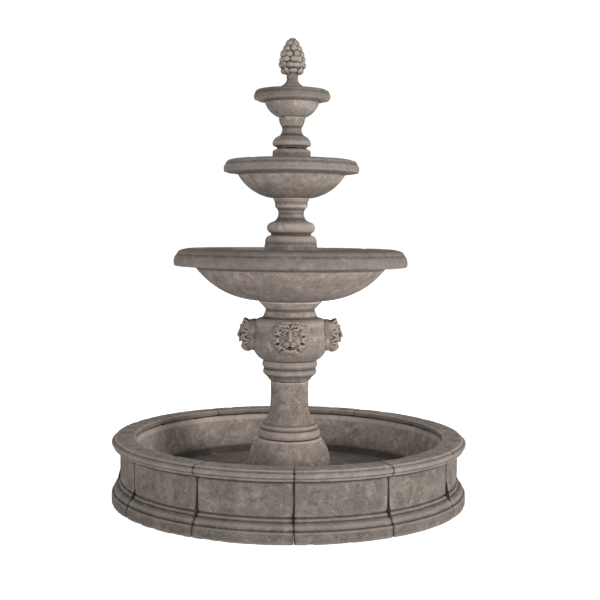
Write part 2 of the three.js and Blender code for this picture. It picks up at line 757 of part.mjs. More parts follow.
place('plinth', plinth(), castStone);
place('column', column(), castStone);
place('capital', capital(), castStone);
place('lion_urn', urn(), castStone);
place('large_bowl', largeBowl(), castStone);
place('lower_spool', lowerSpool(), castStone);
place('medium_bowl', mediumBowl(), castStone);
place('riser_block', riserBlock(), castStone);
place('upper_spool', upperSpool(), castStone);
place('small_bowl', smallBowl(), castStone);
place('pine_cone_finial', finial(), castStone);

const mask = lionMask();
const spout = spoutTube();
['front', 'right', 'back', 'left'].forEach((side, i) => {
  const turn = (i * Math.PI) / 2;
  place(`lion_mask_${side}`, mask, castStone, 0, 0, turn);
  place(`spout_tube_${side}`, spout, copper, 0, 0, turn);
});

const manifoldBottom = SPOUT_HEIGHT - 26;
const manifoldTop = SPOUT_HEIGHT + 26;
const riserStart = VALVE_HEIGHT + 21;
place('spout_manifold', manifoldBlock(), brass);
const lowerLength = manifoldBottom - GAP - riserStart;
const upperLength = RISER_TOP - manifoldTop - GAP;
place('lower_riser_pipe', pipe(RISER_RADIUS, RISER_WALL, riserStart, lowerLength), copper);
place('upper_riser_pipe', pipe(RISER_RADIUS, RISER_WALL, manifoldTop + GAP, upperLength), copper);
place('stopper_large_bowl', stopper(LARGE_BOWL_FLOOR), rubber);
place('stopper_medium_bowl', stopper(MEDIUM_BOWL_FLOOR), rubber);
place('stopper_small_bowl', stopper(SMALL_BOWL_FLOOR), rubber);

place('pump_housing', pumpHousing(), pumpPlastic);
place('pump_shaft', pumpShaft(), ceramic);
place('pump_rotor', pumpRotor(), rotorPlastic);
place('impeller_cover', impellerCover(), pumpPlastic);
place('strainer_cage', strainerCage(), pumpPlastic);
place('flow_dial', flowDial(), rotorPlastic);
place('outlet_adaptor', outletAdaptor(), pumpPlastic);
place('cord_gland', cordGland(), rubber);
const footSpread = PUMP_BODY.width / 2 - 16;
[PUMP_FACE - 16, PUMP_FACE - PUMP_BODY.length + 16].forEach((x, row) => {
  place(`suction_foot_${row * 2 + 1}`, suctionFoot(), rubber, x, -footSpread);
  place(`suction_foot_${row * 2 + 2}`, suctionFoot(), rubber, x, footSpread);
});
place('pump_hose', pipe(HOSE.outer, HOSE.outer - HOSE.inner, HOSE.bottom, HOSE.top - HOSE.bottom), hoseVinyl);
place('hose_clamp_lower', hoseClamp(HOSE.bottom + 2), steel);
place('hose_clamp_upper', hoseClamp(HOSE.top - 2 - CLAMP_WIDTH), steel);
place('valve_body', valveBody(), brass);
place('valve_ball', valveBall(), steel);
place('valve_lever', valveLever(), leverPlastic);

export default fountain;
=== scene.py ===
import json
import math

import bmesh
import bpy
import numpy as np
from mathutils import Matrix, Vector

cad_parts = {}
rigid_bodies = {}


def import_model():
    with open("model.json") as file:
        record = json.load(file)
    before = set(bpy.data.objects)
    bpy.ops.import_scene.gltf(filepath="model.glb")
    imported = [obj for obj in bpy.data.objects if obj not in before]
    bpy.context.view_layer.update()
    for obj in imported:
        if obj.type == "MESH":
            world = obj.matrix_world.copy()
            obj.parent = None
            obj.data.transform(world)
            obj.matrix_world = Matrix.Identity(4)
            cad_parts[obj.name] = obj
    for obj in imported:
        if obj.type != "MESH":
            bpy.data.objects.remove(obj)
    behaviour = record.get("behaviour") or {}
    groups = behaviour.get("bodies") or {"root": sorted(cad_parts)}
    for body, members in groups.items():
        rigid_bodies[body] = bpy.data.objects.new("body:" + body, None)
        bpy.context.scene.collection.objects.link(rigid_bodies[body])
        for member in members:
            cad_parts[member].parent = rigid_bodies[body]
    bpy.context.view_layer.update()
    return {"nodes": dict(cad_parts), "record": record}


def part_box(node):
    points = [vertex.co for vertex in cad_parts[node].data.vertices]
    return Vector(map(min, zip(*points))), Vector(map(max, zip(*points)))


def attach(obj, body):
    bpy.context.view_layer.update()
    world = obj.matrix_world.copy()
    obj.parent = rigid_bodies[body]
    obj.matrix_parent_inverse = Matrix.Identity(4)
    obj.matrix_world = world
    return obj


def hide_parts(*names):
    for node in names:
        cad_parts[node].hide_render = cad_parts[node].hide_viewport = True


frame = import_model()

MM = 0.001

ROOT_BODY = "fountain"
STONE_SLOT = "cast_stone"
BASIN_SLOT = "basin_stone"

CORNER_TURN = math.radians(48)  # a section turns more sharply than this only at a true arris
FULL_PROUD = 1.6 * MM  # the relief that counts as 1 in the "proud" attribute of a swept stone
CLAY_PROUD = 1.2 * MM  # and of a stone modelled in clay
WALL_STONES = [f"pool_wall_stone_{i:02d}" for i in range(1, 13)]
SIDES = {"front": 0, "right": 1, "back": 2, "left": 3}  # quarter turns from the front


# ---- Noise ---------------------------------------------------------------------------------------

def lattice_values(cells, seed):
    """A repeatable random number from 0 to 1 for each row of whole numbers."""
    x, y, z = (cells[:, i].astype(np.uint64) for i in range(3))
    mixed = x * np.uint64(73856093) ^ y * np.uint64(19349663) ^ z * np.uint64(83492791)
    mixed ^= np.uint64(seed * 2654435761)
    mixed = (mixed ^ (mixed >> np.uint64(13))) * np.uint64(0x9E3779B97F4A7C15)
    mixed ^= mixed >> np.uint64(29)
    return (mixed & np.uint64(0xFFFFFF)).astype(float) / 0xFFFFFF


def smooth_noise(points, size, seed):
    """Smooth noise from 0 to 1 whose lumps are about `size` across."""
    scaled = points / size + 1000.0
    low = np.floor(scaled).astype(np.int64)
    part = scaled - low
    part = part * part * (3 - 2 * part)
    total = np.zeros(len(points))
    for corner in range(8):
        step = np.array([corner & 1, corner >> 1 & 1, corner >> 2 & 1])
        weight = np.prod(np.where(step, part, 1 - part), axis=1)
        total += weight * lattice_values(low + step, seed)
    return total


def layered_noise(points, size, seed, layers=3):
    """Several sizes of smooth noise added together, from about 0 to 1."""
    total = np.zeros(len(points))
    weight = 0.0
    for layer in range(layers):
        share = 0.5 ** layer
        total += share * smooth_noise(points, size / 2 ** layer, seed + layer)
        weight += share
    return total / weight


def ramp(value, low, high):
    """0 below low, 1 above high and a smooth step between."""
    t = np.clip((value - low) / (high - low), 0, 1)
    return t * t * (3 - 2 * t)


# ---- Sections from the CAD -----------------------------------------------------------------------

def loop_from_edges(pairs, start):
    """The points of a closed or open chain of edges, in order."""
    links = {}
    for a, b in pairs:
        links.setdefault(a, []).append(b)
        links.setdefault(b, []).append(a)
    chain = [start]
    before = None
    while True:
        onward = [p for p in links[chain[-1]] if p != before]
        if not onward or onward[0] == start:
            return chain
        before = chain[-1]
        chain.append(onward[0])


def without_straight_points(points, tolerance=0.08 * MM):
    """Leaves out the points that lie on the line between their neighbours."""
    kept = list(points)
    i = 0
    while i < len(kept):
        before, here, after = kept[i - 1], kept[i], kept[(i + 1) % len(kept)]
        line = after - before
        off = here - before
        length = np.linalg.norm(line)
        if length < 1e-9 or abs(line[0] * off[1] - line[1] * off[0]) / length < tolerance:
            del kept[i]
            i = max(0, i - 2)
        else:
            i += 1
    return np.array(kept)


def cad_section(node, bearing):
    """The section of a turned CAD node on a bearing (radians from the front towards +X), as a loop of
    (radius, height) that runs counter-clockwise round the material."""
    bm = bmesh.new()
    bm.from_mesh(frame["nodes"][node].data)
    bmesh.ops.remove_doubles(bm, verts=bm.verts, dist=0.02 * MM)
    reach = max(math.hypot(v.co.x, v.co.y) for v in bm.verts)
    outward = Vector((math.sin(bearing), -math.cos(bearing), 0))
    sideways = Vector((math.cos(bearing), math.sin(bearing), 0))
    everything = bm.verts[:] + bm.edges[:] + bm.faces[:]
    cut = bmesh.ops.bisect_plane(bm, geom=everything, plane_co=(0, 0, 0), plane_no=sideways, dist=1e-7)
    edges = [e for e in cut["geom_cut"] if isinstance(e, bmesh.types.BMEdge)]
    edges = [e for e in edges if (e.verts[0].co + e.verts[1].co).dot(outward) > 0]
    bm.verts.index_update()
    pairs = [(e.verts[0].index, e.verts[1].index) for e in edges]
    bm.verts.ensure_lookup_table()
    ends = [i for i in {p for pair in pairs for p in pair} if sum(i in pair for pair in pairs) == 1]
    chain = loop_from_edges(pairs, ends[0] if ends else pairs[0][0])
    places = [bm.verts[i].co for i in chain]
    points = np.array([[max(0.0, p.dot(outward)), p.z] for p in places])
    bm.free()
    points[:, 0] *= reach / points[:, 0].max()  # the cut runs across a flat facet, inside the true circle
    points = without_straight_points(points)
    ahead = np.roll(points, -1, axis=0)
    area = np.sum(points[:, 0] * ahead[:, 1] - ahead[:, 0] * points[:, 1])
    return points if area > 0 else points[::-1]


def unit(vectors):
    """The vectors at a length of 1."""
    return vectors / np.maximum(np.linalg.norm(vectors, axis=-1, keepdims=True), 1e-12)


def is_corner(section):
    """Which points of a section are true arrises."""
    back = unit(section - np.roll(section, 1, axis=0))
    on = unit(np.roll(section, -1, axis=0) - section)
    turn = np.arccos(np.clip(np.sum(back * on, axis=1), -1, 1))
    return turn > CORNER_TURN


def rounded_section(section, spacing):
    """The section with its arcs made round and a point every `spacing` (a function of radius and height)."""
    corner = is_corner(section)
    count = len(section)
    edge = np.roll(section, -1, axis=0) - section
    tangent = unit(edge + np.roll(edge, 1, axis=0))
    fine = []
    for i in range(count):
        j = (i + 1) % count
        chord = edge[i]
        length = np.linalg.norm(chord)
        along = chord / length
        leave, arrive = tangent[i], tangent[j]
        if corner[i] and corner[j]:
            leave = arrive = along
        elif corner[i]:
            leave = 2 * np.dot(arrive, along) * along - arrive
        elif corner[j]:
            arrive = 2 * np.dot(leave, along) * along - leave
        steps = max(1, int(math.ceil(length / spacing(*(section[i] + section[j]) / 2))))
        for k in range(steps):
            t = k / steps
            point = (2 * t**3 - 3 * t**2 + 1) * section[i] + (3 * t**2 - 2 * t**3) * section[j]
            point = point + length * ((t**3 - 2 * t**2 + t) * leave + (t**3 - t**2) * arrive)
            fine.append(point)
    return np.array(fine)


def worn_section(fine, wear):
    """Rounds the arrises off by about `wear`, and returns the section, its outward normals and how far each
    point stands proud (above 0) or lies in a hollow (below 0)."""
    smooth = fine.copy()
    gaps = np.linalg.norm(np.roll(fine, -1, axis=0) - fine, axis=1)
    passes = max(1, int(round((wear / np.median(gaps)) ** 2)))
    close = (np.maximum(gaps, np.roll(gaps, 1)) < 4 * np.median(gaps))[:, None]
    for _ in range(passes):
        middle = (np.roll(smooth, 1, axis=0) + np.roll(smooth, -1, axis=0)) / 2
        smooth = np.where(close, smooth + 0.5 * (middle - smooth), smooth)
    run = unit(np.roll(smooth, -1, axis=0) - np.roll(smooth, 1, axis=0))
    normal = np.stack([run[:, 1], -run[:, 0]], axis=1)
    wide = smooth.copy()
    for _ in range(9):
        wide = (np.roll(wide, 1, axis=0) + np.roll(wide, -1, axis=0) + wide) / 3
    proud = np.sum((smooth - wide) * normal, axis=1)
    return smooth, normal, proud


# ---- Meshes --------------------------------------------------------------------------------------

def grid_faces(rows, columns, closed_rows, closed_columns):
    """Quads over a grid of rows by columns of vertices."""
    r = np.arange(rows if closed_rows else rows - 1)
    c = np.arange(columns if closed_columns else columns - 1)
    r, c = np.meshgrid(r, c, indexing="ij")
    r1, c1 = (r + 1) % rows, (c + 1) % columns
    quads = np.stack([r * columns + c, r1 * columns + c, r1 * columns + c1, r * columns + c1], axis=-1)
    return quads.reshape(-1, 4).tolist()


def new_piece(name, points, faces, body, nodes, shares=None):
    """A smooth-shaded mesh that rides on a body and stands for some CAD nodes."""
    mesh = bpy.data.meshes.new(name)
    mesh.from_pydata(np.asarray(points).tolist(), [], faces)
    mesh.validate()
    piece = bpy.data.objects.new(name, mesh)
    bpy.context.scene.collection.objects.link(piece)
    mesh.polygons.foreach_set("use_smooth", np.ones(len(mesh.polygons), bool))
    for attribute, values in (shares or {}).items():
        layer = mesh.attributes.new(attribute, "FLOAT", "POINT")
        layer.data.foreach_set("value", np.asarray(values, np.float32))
    mesh.update()
    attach(piece, body)
    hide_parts(*nodes)
    return piece


def weathering(points, proud, seed, chip=1.0):
    """How deep the weather has bitten at each point: unevenness, pitting and chips on the arrises."""
    uneven = 1.1 * MM * layered_noise(points, 0.11, seed)
    grain = 0.5 * MM * smooth_noise(points, 0.012, seed + 11)
    pits = 1.3 * MM * ramp(smooth_noise(points, 0.022, seed + 23), 0.80, 0.95)
    arris = ramp(proud, 0.25 * MM, 0.9 * MM)
    bites = ramp(layered_noise(points, 0.05, seed + 37, 2), 0.60, 0.80)
    chips = chip * 4.0 * MM * arris * bites
    return uneven + grain + pits + chips


OFF_RIM_TONE = 1.06  # of a bowl away from its rim


def rim_stain_and_shade(radius, height, tone):
    """A tone that falls from that of the rest of the bowl to `tone` beyond a radius and above a height:
    stains where water spills, and painted shade on the rim.
    """
    def tone_at(r, z):
        on_rim = ramp(r, radius - 10 * MM, radius + 10 * MM) * ramp(z, height - 5 * MM, height + 5 * MM)
        return OFF_RIM_TONE - (OFF_RIM_TONE - tone) * on_rim
    return tone_at


def even_tone(tone):
    """One tone all over."""
    return lambda radius, _height: np.full(len(radius), tone)


def neck_painted_light(_radius, height):
    """The urn's neck is painted paler than its belly: painted light against the shade under the large bowl.
    """
    return 1.0 + 0.30 * ramp(height, 0.915, 0.940)


def swept(outline, normal, angle):
    """The points and normals of a section swept about the axis through some angles from the front."""
    columns = len(angle)
    around = np.stack([np.sin(angle), -np.cos(angle)], axis=1)[None]
    places = []
    for pairs in (outline, normal):
        level = pairs[:, None, :1] * around
        upright = np.repeat(pairs[:, None, 1:], columns, 1)
        places.append(np.concatenate([level, upright], axis=2).reshape(-1, 3))
    return places


def turned_stone(name, node, spacing, seed, bearing=0.09, wear=2.0 * MM, tone=None):
    """A casting turned about the axis, rebuilt finely from its CAD node. `tone` gives its tone by radius and
    height."""
    section = cad_section(node, bearing)
    inner = section[:, 0].min() + 3 * MM

    def step(radius, _height):
        return spacing * 5 if radius < inner else spacing

    fine = rounded_section(section, step)
    outline, normal, proud = worn_section(fine, wear)
    columns = int(math.tau * outline[:, 0].max() / (1.35 * spacing))
    angle = np.linspace(0, math.tau, columns, endpoint=False)
    points, normals = swept(outline, normal, angle)
    proud = np.repeat(proud, columns)
    points = points - normals * weathering(points, proud, seed)[:, None]
    faces = [f[::-1] for f in grid_faces(len(outline), columns, True, True)]
    tones = tone(outline[:, 0], outline[:, 1]) if tone else np.ones(len(outline))
    shares = {"proud": proud / FULL_PROUD, "tone": np.repeat(tones, columns)}
    return new_piece(name, points, faces, ROOT_BODY, [node], shares)


# ---- Pool ----------------------------------------------------------------------------------------

DRAIN_HOLE = 27 * MM  # radius
ARRIS_RADIUS = 6 * MM  # of the upright arrises beside each joint
JOINT_GRIME = 8 * MM  # how far the dirt in a joint spreads onto its stones
PANEL_COLUMNS = 78  # across one stone, between its rounded ends
BASE_DARK = 0.04  # heights between which the darkening at the foot, grime and painted shade, fades out
BASE_TOP = 0.11
COPING_EDGE = 0.324  # and between which the coping's pale top begins
COPING_TOP = 0.330


def wall_stone(name, node, seed):
    """One stone of the pool's wall: coping, panel and base moulding swept round, with rounded ends."""
    corners = np.array([v.co for v in frame["nodes"][node].data.vertices])
    rough = math.atan2(corners[:, 0].mean(), -corners[:, 1].mean())
    bearings = np.arctan2(corners[:, 0], -corners[:, 1]) - rough
    bearings = (bearings + math.pi) % math.tau - math.pi
    middle = rough + (bearings.max() + bearings.min()) / 2
    half = (bearings.max() - bearings.min()) / 2
    section = cad_section(node, middle)
    fine = rounded_section(section, lambda r, z: 4 * MM if r > 0.84 or z > 0.3 else 16 * MM)
    outline, normal, proud = worn_section(fine, 2.2 * MM)
    reach = outline[:, 0].max()
    # Close columns at the two ends for the round arris, even ones between.
    ends = np.array([0, 0.12, 0.3, 0.55, 1.0]) * ARRIS_RADIUS / reach
    body = np.linspace(ends[-1], 2 * half - ends[-1], PANEL_COLUMNS)[1:-1]
    angle = np.concatenate([ends, body, (2 * half - ends)[::-1]]) - half
    inset = np.minimum(angle + half, half - angle) * reach
    eased = 1 - np.clip(inset / ARRIS_RADIUS, 0, 1)
    cut_back = ARRIS_RADIUS * (1 - np.sqrt(1 - eased**2)) * 0.8
    pillow = 1.8 * MM * np.exp(-inset / (24 * MM))
    columns = len(angle)
    points, normals = swept(outline, normal, middle + angle)
    rows = len(outline)
    edge = np.tile(cut_back + pillow, rows)
    bitten = np.maximum(np.repeat(proud, columns), np.tile(0.8 * MM * eased, rows))
    depth = weathering(points, bitten, seed) + edge
    dirt = 1 - ramp(inset, 0.45 * JOINT_GRIME, JOINT_GRIME)
    # A painted highlight in a band beside each joint, where the pillowed face would catch the light; dirt in
    # the joint itself.
    pale_patch = ramp(inset, JOINT_GRIME, 1.8 * JOINT_GRIME)
    pale_patch = pale_patch * (1 - ramp(inset, 3 * JOINT_GRIME, 7 * JOINT_GRIME))
    caked = 0.35 + 0.65 * ramp(layered_noise(points, 0.06, seed + 51, 2), 0.30, 0.62)
    joint_dirt_and_highlight = 0.5 * np.tile(pale_patch, rows) - 1.3 * np.tile(dirt, rows) * caked
    proud_all = np.repeat(proud, columns) + joint_dirt_and_highlight * MM
    points = points - normals * depth[:, None]
    faces = [f[::-1] for f in grid_faces(rows, columns, True, False)]
    first = [row * columns for row in range(rows)]
    last = [row * columns + columns - 1 for row in range(rows)]
    faces += [first, last[::-1]]
    height = outline[:, 1]
    base = 1 - ramp(height, BASE_DARK, BASE_TOP)
    top = ramp(height, COPING_EDGE, COPING_TOP)
    rows_tone = 0.64 - 0.09 * base + 0.42 * top  # darker at the ground from grime and painted shade, paler on top of the coping
    shares = {"proud": proud_all / FULL_PROUD, "tone": np.repeat(rows_tone, columns)}
    stone = new_piece(name, points, faces, ROOT_BODY, [node], shares)
    for end in stone.data.polygons[-2:]:
        end.use_smooth = False
    return stone


def basin_wall_painted_light(_radius, height):
    """The basin's wall is painted paler from 0.10 m up: painted light against the shade inside the pool."""
    return 1.0 + 0.55 * ramp(height, 0.10, 0.20)


def pool():
    """The twelve wall stones, the basin's wall and the floor slab with its drain hole."""
    for i, node in enumerate(WALL_STONES):
        wall_stone(f"stone_{node}", node, seed=100 + 7 * i)
    turned_stone("stone_basin_wall", "basin_wall", spacing=9 * MM, seed=61,
                 tone=basin_wall_painted_light)
    slab = turned_stone("stone_pool_floor", "pool_floor", spacing=11 * MM, bearing=0.7, seed=60)
    low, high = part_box("drain_fitting")
    centre = (low + high) / 2
    cut_out(slab, [post(centre.x, centre.y, DRAIN_HOLE, -0.01, 0.11)])


# ---- Cutting -------------------------------------------------------------------------------------

def post(x, y, radius, low, high, sides=48):
    """An upright cylinder to cut with."""
    bm = bmesh.new()
    length = high - low
    bmesh.ops.create_cone(bm, cap_ends=True, segments=sides, radius1=radius, radius2=radius, depth=length)
    bmesh.ops.translate(bm, verts=bm.verts, vec=(x, y, (low + high) / 2))
    return tool_object(bm)


def spoke(radius, start, end, height, angle, sides=24):
    """A cylinder that runs outwards from the axis, to cut with."""
    bm = bmesh.new()
    length = end - start
    bmesh.ops.create_cone(bm, cap_ends=True, segments=sides, radius1=radius, radius2=radius, depth=length)
    bmesh.ops.rotate(bm, verts=bm.verts, matrix=Matrix.Rotation(math.pi / 2, 3, "X"))
    bmesh.ops.translate(bm, verts=bm.verts, vec=(0, -(start + end) / 2, height))
    bmesh.ops.rotate(bm, verts=bm.verts, matrix=Matrix.Rotation(angle, 3, "Z"))
    return tool_object(bm)


def round_topped_gate(half_width, start, end, top, angle):
    """A tunnel with a rounded head that runs outwards from the axis along the ground, to cut with."""
    rise = half_width * 0.6
    arch = [(half_width * math.cos(t), top - rise + rise * math.sin(t)) for t in np.linspace(0, math.pi, 13)]
    outline = [(half_width, 0.0)] + arch + [(-half_width, 0.0)]
    bm = bmesh.new()
    near = [bm.verts.new((x, start, z)) for x, z in outline]
    far = [bm.verts.new((x, end, z)) for x, z in outline]
    count = len(outline)
    for i in range(count):
        j = (i + 1) % count
        bm.faces.new((near[i], near[j], far[j], far[i]))
    bm.faces.new(near[::-1])
    bm.faces.new(far)
    bmesh.ops.recalc_face_normals(bm, faces=bm.faces)
    bmesh.ops.rotate(bm, verts=bm.verts, matrix=Matrix.Rotation(angle, 3, "Z"))
    return tool_object(bm)


def tool_object(bm):
    """Makes an object of a mesh that is only used to cut with."""
    mesh = bpy.data.meshes.new("tool")
    bm.to_mesh(mesh)
    bm.free()
    tool = bpy.data.objects.new("tool", mesh)
    bpy.context.scene.collection.objects.link(tool)
    return tool


def cut_out(piece, tools):
    """Takes the tools' shapes out of the piece for good."""
    for tool in tools:
        cut = piece.modifiers.new("cut", "BOOLEAN")
        cut.operation = "DIFFERENCE"
        cut.solver = "EXACT"
        cut.object = tool
    shown = piece.evaluated_get(bpy.context.evaluated_depsgraph_get())
    mesh = bpy.data.meshes.new_from_object(shown)
    piece.modifiers.clear()
    piece.data = mesh
    for tool in tools:
        bpy.data.objects.remove(tool)


# ---- Clay ----------------------------------------------------------------------------------------

class Clay:
    """A block of space in which lumps are added and carved before a skin is drawn round them. Places and
    sizes are in millimetres."""

    def __init__(self, low, high, cell):
        self.cell = cell
        self.axes = [np.arange(a, b + cell, cell) for a, b in zip(low, high)]
        self.low = np.array(low, float)
        self.depth = np.full([len(axis) for axis in self.axes], 40.0)  # distance outside the surface

    def near(self, low, high):
        """The part of the block round a box, and its coordinates."""
        part = []
        for i in range(3):
            first = int((low[i] - self.low[i]) / self.cell)
            last = int((high[i] - self.low[i]) / self.cell) + 2
            part.append(slice(max(0, first), max(0, last)))
        grid = np.meshgrid(*(self.axes[i][part[i]] for i in range(3)), indexing="ij", sparse=True)
        return tuple(part), grid

    def merge(self, part, shape, blend):
        """Adds a shape, with a soft fillet where it meets the rest."""
        old = self.depth[part]
        soft = np.maximum(blend - np.abs(old - shape), 0) / blend
        self.depth[part] = np.minimum(old, shape) - soft * soft * blend / 4

    def take(self, part, shape, blend):
        """Carves a shape away, with a soft edge."""
        old = self.depth[part]
        soft = np.maximum(blend - np.abs(old + shape), 0) / blend
        self.depth[part] = np.maximum(old, -shape) + soft * soft * blend / 4

    def lump(self, centre, half, blend=4.0, axes=None, carve=False):
        """An ellipsoid; the rows of `axes` are the directions of its half sizes."""
        axes = np.eye(3) if axes is None else np.asarray(axes)
        reach = np.abs(axes.T) @ np.asarray(half) + blend + 2 * self.cell
        part, grid = self.near(np.asarray(centre) - reach, np.asarray(centre) + reach)
        offsets = [grid[i] - centre[i] for i in range(3)]
        turned = [sum(axes[row][i] * offsets[i] for i in range(3)) / half[row] for row in range(3)]
        far = np.sqrt(sum(t * t for t in turned))
        slope = np.sqrt(sum((t / h) ** 2 for t, h in zip(turned, half)))
        shape = far * (far - 1) / np.maximum(slope, 1e-6)
        (self.take if carve else self.merge)(part, shape, blend)

    def stroke(self, points, radii, blend=3.0, carve=False):
        """A roll of clay along some points, of the given radius at each."""
        points = np.asarray(points, float)
        reach = max(radii) + blend + 2 * self.cell
        part, grid = self.near(points.min(axis=0) - reach, points.max(axis=0) + reach)
        shape = None
        for a, b, thick_a, thick_b in zip(points, points[1:], radii, radii[1:]):
            run = b - a
            along = sum((grid[i] - a[i]) * run[i] for i in range(3)) / np.dot(run, run)
            along = np.clip(along, 0, 1)
            away = np.sqrt(sum((grid[i] - a[i] - along * run[i]) ** 2 for i in range(3)))
            piece = away - (thick_a + along * (thick_b - thick_a))
            shape = piece if shape is None else np.minimum(shape, piece)
        (self.take if carve else self.merge)(part, shape, blend)

    def skin(self):
        """The surface as points and four-sided faces."""
        inside = self.depth < 0
        counts = [n - 1 for n in inside.shape]
        total = np.zeros(counts, np.int8)
        for dx, dy, dz in np.ndindex(2, 2, 2):
            total += inside[dx:dx + counts[0], dy:dy + counts[1], dz:dz + counts[2]]
        active = (total > 0) & (total < 8)
        cells = np.argwhere(active)
        number = np.full(counts, -1)
        number[active] = np.arange(len(cells))
        summed = np.zeros((len(cells), 3))
        crossings = np.zeros(len(cells))
        for axis in range(3):
            others = [i for i in range(3) if i != axis]
            for a, b in np.ndindex(2, 2):
                start = np.zeros(3, int)
                start[others] = a, b
                end = start.copy()
                end[axis] = 1
                near = self.depth[tuple((cells + start).T)]
                far = self.depth[tuple((cells + end).T)]
                crosses = (near < 0) != (far < 0)
                share = np.where(crosses, near / np.where(crosses, near - far, 1), 0)
                place = start + share[:, None] * (end - start)
                summed += place * crosses[:, None]
                crossings += crosses
        points = self.low + self.cell * (cells + summed / crossings[:, None])
        faces = []
        for axis in range(3):
            before = np.moveaxis(inside, axis, 0)[:-1]
            after = np.moveaxis(inside, axis, 0)[1:]
            change = np.moveaxis(before != after, 0, axis)
            edges = np.argwhere(change)
            leaves = inside[tuple(edges.T)]
            u, v = [(1, 2), (2, 0), (0, 1)][axis]
            steps = np.zeros((4, 3), int)
            steps[1, u] = steps[2, u] = -1
            steps[2, v] = steps[3, v] = -1
            quads = np.stack([number[tuple((edges + step).T)] for step in steps], axis=1)
            quads[~leaves] = quads[~leaves][:, ::-1]
            faces.append(quads)
        return points, np.concatenate(faces)


def neighbour_average(values, edges, count, passes):
    """Values at points, averaged with their neighbours several times."""
    ends = np.concatenate([edges[:, 0], edges[:, 1]])
    others = np.concatenate([edges[:, 1], edges[:, 0]])
    degree = np.bincount(ends, minlength=count)[:, None]
    for _ in range(passes):
        sums = [np.bincount(ends, column, count) for column in values[others].T]
        summed = np.stack(sums, axis=1)
        values = 0.5 * values + 0.5 * summed / degree
    return values


def modelled_stone(name, clay, nodes, body, seed, angle=0.0, smooth_passes=3, chip=0.6):
    """A piece from clay: its skin smoothed, weathered and turned about the axis."""
    points, faces = clay.skin()
    points = points * MM
    count = len(points)
    sides = np.concatenate([faces[:, [i, (i + 1) % 4]] for i in range(4)])
    edges = np.unique(np.sort(sides, axis=1), axis=0)
    points = neighbour_average(points, edges, count, smooth_passes)
    corner = [points[faces[:, i]] for i in range(4)]
    face_normals = np.cross(corner[2] - corner[0], corner[3] - corner[1])
    normals = np.zeros((count, 3))
    for i in range(4):
        for axis in range(3):
            normals[:, axis] += np.bincount(faces[:, i], face_normals[:, axis], count)
    normals = unit(normals)
    wide = neighbour_average(points, edges, count, 24)
    proud = np.sum((points - wide) * normals, axis=1)
    proud = neighbour_average(proud[:, None], edges, count, 2)[:, 0]
    turned = np.array(Matrix.Rotation(angle, 3, "Z"))
    points = points @ turned.T
    normals = normals @ turned.T
    points = points - normals * 0.7 * weathering(points, proud, seed, chip)[:, None]
    shares = {"proud": proud / CLAY_PROUD, "tone": np.ones(count)}
    return new_piece(name, points, faces.tolist(), body, nodes, shares)


# ---- Lion masks ----------------------------------------------------------------------------------

MASK_HEIGHT = 848  # millimetres: the middle of each mask
SPOUT_HEIGHT = 803
CHANNEL_RADIUS = 9.3  # of the spout's way through a mask


def spot(across, out, up):
    """A place on a mask: millimetres to the right of its middle, out from the axis and above its middle."""
    return np.array([across, -out, MASK_HEIGHT + up])


def spots(*places, side=1):
    """Places on a mask, on its right, or mirrored to its left when `side` is -1."""
    return [spot(side * across, out, up) for across, out, up in places]


def lion_mane(clay):
    """A thick pad against the urn, ringed with waved locks, under a flat fringe."""
    pads = ((44, 186, 32, 46), (36, 184, -36, 46), (50, 214, 46, 26), (48, 206, 0, 30), (40, 206, -46, 28))
    for width, out, up, radius in pads:
        clay.stroke(spots((-width, out, up), (width, out, up)), [radius, radius], blend=8)
    locks = 9
    for side in (1, -1):
        for i in range(locks):
            turn = math.radians(42 + 15.5 * i)
            across, up = math.sin(turn), math.cos(turn)
            tall = 1.08 if up < 0 else 1.0
            wave = 7 if i % 2 else -5
            rings = ((54, 240, 0), (63, 243, wave), (72, 235, 0.4 * wave), (78, 220, -0.7 * wave),
                     (78, 206, -wave))
            path = [(across * r + bend * up, out, tall * up * r - bend * across) for r, out, bend in rings]
            clay.stroke(spots(*path, side=side), [6, 8, 8.5, 7.5, 5], blend=1.6)
        for i in range(3):  # the fringe, combed outwards from the parting
            start = 4 + 16 * i
            path = ((start, 240, 52 - 2 * i), (start + 5, 243, 60), (start + 14, 241, 65),
                    (start + 22, 235, 60 - 4 * i))
            clay.stroke(spots(*path, side=side), [5, 7, 7, 4], blend=1.6)
    clay.stroke(spots((-66, 222, 70), (-34, 235, 77), (36, 236, 77), (68, 222, 70)), [6, 8, 8, 6], blend=1.6)


